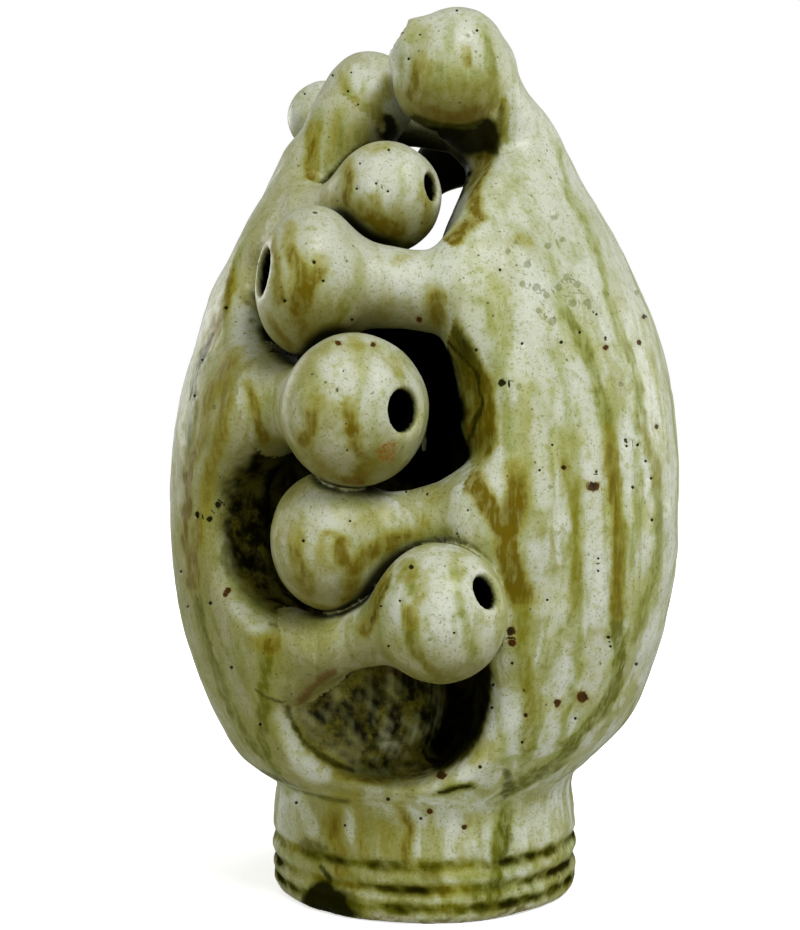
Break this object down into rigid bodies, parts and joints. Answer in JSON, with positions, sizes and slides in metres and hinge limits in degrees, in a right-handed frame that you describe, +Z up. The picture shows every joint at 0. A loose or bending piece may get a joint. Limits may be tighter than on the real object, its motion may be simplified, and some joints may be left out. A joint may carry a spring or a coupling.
{
  "type": "ocarina",
  "caption": "Hand-built stoneware double ocarina: bud-shaped double-walled body split by a winding slit, bridged by interlaced hollow fingers with holed bulb tips, on a turned foot ring.",
  "frame": {"origin": "centre of the foot ring's underside, on the table", "axes": "+Z up along the body's axis, -Y towards the front slit with the lowest finger, +X towards the lobe that carries the topmost finger"},
  "size_m": [0.1254, 0.1535, 0.2095],
  "materials": {
    "ash_glaze": "glossy runny ash glaze, pale grey-green with olive and amber streaks and iron specks",
    "foot_glaze": "glossy ash glaze pooled in turned grooves, bare rough band at the bottom edge",
    "well_glaze": "thin mottled olive-brown glaze breaking red-brown on the edges",
    "bare_clay": "bare fired stoneware, matt and slightly gritty"
  },
  "bodies": {
    "root": {"foot_ring": "foot_glaze", "foot_floor": "bare_clay", "bowl_wall": "ash_glaze", "left_dome_wall": "ash_glaze", "right_dome_wall": "ash_glaze", "well_bowl": "well_glaze", "left_well_wall": "well_glaze", "right_well_wall": "well_glaze", "left_front_rim": "well_glaze", "right_front_rim": "well_glaze", "left_rear_rim": "well_glaze", "right_rear_rim": "well_glaze", "left_top_cap": "well_glaze", "rear_septum": "well_glaze", "mouthpiece": "ash_glaze", "left_labium": "bare_clay", "right_labium": "bare_clay", "left_neck_1": "ash_glaze", "left_neck_2": "ash_glaze", "left_neck_3": "ash_glaze", "left_neck_4": "ash_glaze", "left_neck_5": "ash_glaze", "right_neck_1": "ash_glaze", "right_neck_2": "ash_glaze", "right_neck_3": "ash_glaze", "right_neck_4": "ash_glaze", "right_neck_5": "ash_glaze", "left_bulb_1": "ash_glaze", "left_bulb_2": "ash_glaze", "left_bulb_3": "ash_glaze", "left_bulb_4": "ash_glaze", "left_bulb_5": "ash_glaze", "right_bulb_1": "ash_glaze", "right_bulb_2": "ash_glaze", "right_bulb_3": "ash_glaze", "right_bulb_4": "ash_glaze", "right_bulb_5": "ash_glaze"}
  },
  "joints": []
}
